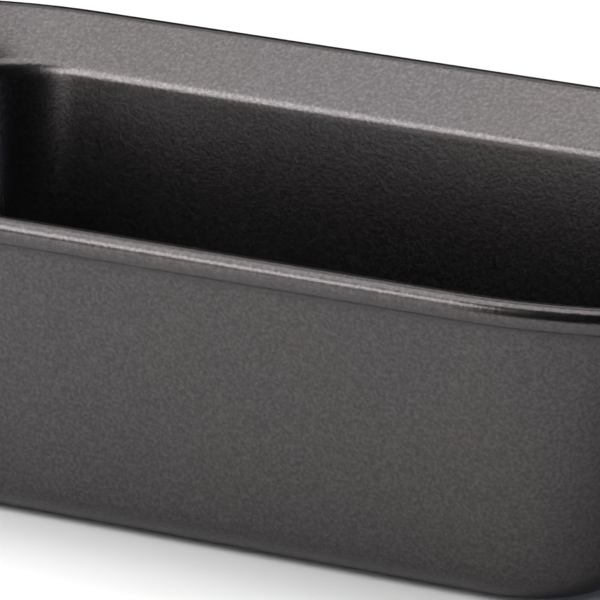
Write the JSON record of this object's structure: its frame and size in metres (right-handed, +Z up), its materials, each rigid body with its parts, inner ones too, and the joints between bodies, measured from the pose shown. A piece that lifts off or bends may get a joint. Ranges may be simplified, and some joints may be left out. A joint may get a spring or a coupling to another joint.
{
  "type": "loaf pan",
  "caption": "Deep-drawn steel loaf pan with a dark non-stick finish, a sloping flange that is wider at the ends for holding, and an edge rolled over a wire.",
  "frame": {"origin": "middle of the underside, on the surface that the pan stands on", "axes": "+X along the pan, +Y across it, +Z up"},
  "size_m": [0.2936, 0.1464, 0.0725],
  "materials": {
    "nonstick_steel": "satin metallic charcoal non-stick coating over drawn steel, fine speckle",
    "bare_wire": "drawn mild steel wire, dull"
  },
  "bodies": {
    "root": {"pan_body": "nonstick_steel", "rim_wire": "bare_wire"}
  },
  "joints": []
}
